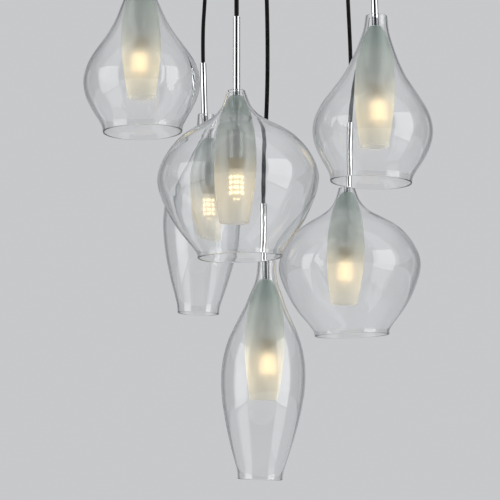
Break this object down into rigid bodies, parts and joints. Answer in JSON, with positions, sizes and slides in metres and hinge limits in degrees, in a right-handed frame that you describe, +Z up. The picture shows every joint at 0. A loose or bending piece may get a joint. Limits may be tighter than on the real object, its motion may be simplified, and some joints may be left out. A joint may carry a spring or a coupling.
{
  "type": "cluster pendant light",
  "caption": "Ceiling cluster of clear blown-glass pendants on black cords, each with a frosted inner glass round its lamp, under a round chrome canopy.",
  "frame": {"origin": "in the ceiling plane, at the middle of the canopy and midway between the two ceiling screws", "axes": "+Z up, along the cords; +X along the ceiling bracket, through both ceiling screws; -Y towards the side that the pendants are seen from"},
  "size_m": [0.4096, 0.4256, 0.8259],
  "materials": {
    "clear_glass": "clear, blown, fire-polished rims",
    "frosted_glass": "satin frosted, grey-green",
    "chrome": "polished",
    "cord": "smooth black sheath",
    "ceramic": "unglazed tan",
    "lamp": "white column with warm yellow chips",
    "zinc_steel": "zinc plated",
    "terminal_plastic": "matt off-white",
    "lead_sheath": "smooth off-white sheath"
  },
  "bodies": {
    "canopy": {"canopy_cover": "chrome", "ceiling_bracket": "zinc_steel", "canopy_screws": "chrome", "terminal_block": "terminal_plastic", "cord_grips": "chrome", "inner_leads": "lead_sheath"},
    "cord_1_line": {"cord_1": "cord"},
    "pendant_1": {"stem_1": "chrome", "neck_cup_1": "chrome", "sleeve_1": "chrome", "lamp_cup_1": "chrome", "socket_1": "ceramic", "diffuser_1": "frosted_glass"},
    "glass_1": {"shade_1": "clear_glass"},
    "bulb_1": {"lamp_1": "lamp"},
    "cord_2_line": {"cord_2": "cord"},
    "pendant_2": {"stem_2": "chrome", "neck_cup_2": "chrome", "sleeve_2": "chrome", "lamp_cup_2": "chrome", "socket_2": "ceramic", "diffuser_2": "frosted_glass"},
    "glass_2": {"shade_2": "clear_glass"},
    "bulb_2": {"lamp_2": "lamp"},
    "cord_3_line": {"cord_3": "cord"},
    "pendant_3": {"stem_3": "chrome", "neck_cup_3": "chrome", "sleeve_3": "chrome", "lamp_cup_3": "chrome", "socket_3": "ceramic", "diffuser_3": "frosted_glass"},
    "glass_3": {"shade_3": "clear_glass"},
    "bulb_3": {"lamp_3": "lamp"},
    "cord_4_line": {"cord_4": "cord"},
    "pendant_4": {"stem_4": "chrome", "neck_cup_4": "chrome", "sleeve_4": "chrome", "lamp_cup_4": "chrome", "socket_4": "ceramic", "diffuser_4": "frosted_glass"},
    "glass_4": {"shade_4": "clear_glass"},
    "bulb_4": {"lamp_4": "lamp"},
    "cord_5_line": {"cord_5": "cord"},
    "pendant_5": {"stem_5": "chrome", "neck_cup_5": "chrome", "sleeve_5": "chrome", "lamp_cup_5": "chrome", "socket_5": "ceramic", "diffuser_5": "frosted_glass"},
    "glass_5": {"shade_5": "clear_glass"},
    "bulb_5": {"lamp_5": "lamp"},
    "cord_6_line": {"cord_6": "cord"},
    "pendant_6": {"stem_6": "chrome", "neck_cup_6": "chrome", "sleeve_6": "chrome", "lamp_cup_6": "chrome", "socket_6": "ceramic", "diffuser_6": "frosted_glass"},
    "glass_6": {"shade_6": "clear_glass"},
    "bulb_6": {"lamp_6": "lamp"}
  },
  "joints": [
    {"name": "swing_1", "type": "hinge", "parent": "canopy", "child": "cord_1_line", "pos_m": [-0.14656, -0.0206, -0.039], "axis": [-0.1392, 0.9903, 0], "range_deg": [-2, 12]},
    {"name": "twist_1", "type": "hinge", "parent": "cord_1_line", "child": "pendant_1", "pos_m": [-0.14466, -0.0206, -0.236], "axis": [0, 0, 1], "range_deg": [-90, 90]},
    {"name": "shade_lift_1", "type": "slide", "parent": "pendant_1", "child": "glass_1", "axis": [0, 0, 1], "range_m": [0, 0.05]},
    {"name": "lamp_pull_1", "type": "slide", "parent": "pendant_1", "child": "bulb_1", "axis": [0, 0, -1], "range_m": [0, 0.12]},
    {"name": "swing_2", "type": "hinge", "parent": "canopy", "child": "cord_2_line", "pos_m": [-0.06488, 0.13302, -0.039], "axis": [0.8988, 0.4384, 0], "range_deg": [-2, 12]},
    {"name": "twist_2", "type": "hinge", "parent": "cord_2_line", "child": "pendant_2", "pos_m": [-0.07168, 0.13302, -0.3875], "axis": [-0.0297, 0, 0.9996], "range_deg": [-90, 90]},
    {"name": "shade_lift_2", "type": "slide", "parent": "pendant_2", "child": "glass_2", "axis": [-0.0297, 0, 0.9996], "range_m": [0, 0.05]},
    {"name": "lamp_pull_2", "type": "slide", "parent": "pendant_2", "child": "bulb_2", "axis": [0.0297, 0, -0.9996], "range_m": [0, 0.165]},
    {"name": "swing_3", "type": "hinge", "parent": "canopy", "child": "cord_3_line", "pos_m": [-0.0257, -0.14575, -0.039], "axis": [-0.9848, 0.1736, 0], "range_deg": [-2, 12]},
    {"name": "twist_3", "type": "hinge", "parent": "cord_3_line", "child": "pendant_3", "pos_m": [-0.0289, -0.14575, -0.404], "axis": [0, 0, 1], "range_deg": [-90, 90]},
    {"name": "shade_lift_3", "type": "slide", "parent": "pendant_3", "child": "glass_3", "axis": [0, 0, 1], "range_m": [0, 0.05]},
    {"name": "lamp_pull_3", "type": "slide", "parent": "pendant_3", "child": "bulb_3", "axis": [0, 0, -1], "range_m": [0, 0.11]},
    {"name": "swing_4", "type": "hinge", "parent": "canopy", "child": "cord_4_line", "pos_m": [0, 0, -0.039], "axis": [0, -1, 0], "range_deg": [-4, 4]},
    {"name": "twist_4", "type": "hinge", "parent": "cord_4_line", "child": "pendant_4", "pos_m": [0.0047, 0, -0.592], "axis": [-0.0209, 0, 0.9998], "range_deg": [-90, 90]},
    {"name": "shade_lift_4", "type": "slide", "parent": "pendant_4", "child": "glass_4", "axis": [-0.0209, 0, 0.9998], "range_m": [0, 0.05]},
    {"name": "lamp_pull_4", "type": "slide", "parent": "pendant_4", "child": "bulb_4", "axis": [0.0209, 0, -0.9998], "range_m": [0, 0.165]},
    {"name": "swing_5", "type": "hinge", "parent": "canopy", "child": "cord_5_line", "pos_m": [0.13068, -0.06948, -0.039], "axis": [-0.4695, -0.8829, 0], "range_deg": [-2, 12]},
    {"name": "twist_5", "type": "hinge", "parent": "cord_5_line", "child": "pendant_5", "pos_m": [0.13128, -0.06948, -0.3045], "axis": [-0.0209, 0, 0.9998], "range_deg": [-90, 90]},
    {"name": "shade_lift_5", "type": "slide", "parent": "pendant_5", "child": "glass_5", "axis": [-0.0209, 0, 0.9998], "range_m": [0, 0.05]},
    {"name": "lamp_pull_5", "type": "slide", "parent": "pendant_5", "child": "bulb_5", "axis": [0.0209, 0, -0.9998], "range_m": [0, 0.12]},
    {"name": "swing_6", "type": "hinge", "parent": "canopy", "child": "cord_6_line", "pos_m": [0.10646, 0.10281, -0.039], "axis": [0.6947, -0.7193, 0], "range_deg": [-2, 12]},
    {"name": "twist_6", "type": "hinge", "parent": "cord_6_line", "child": "pendant_6", "pos_m": [0.10776, 0.10281, -0.471], "axis": [0.0332, 0, 0.9995], "range_deg": [-90, 90]},
    {"name": "shade_lift_6", "type": "slide", "parent": "pendant_6", "child": "glass_6", "axis": [0.0332, 0, 0.9995], "range_m": [0, 0.05]},
    {"name": "lamp_pull_6", "type": "slide", "parent": "pendant_6", "child": "bulb_6", "axis": [-0.0332, 0, -0.9995], "range_m": [0, 0.11]}
  ]
}
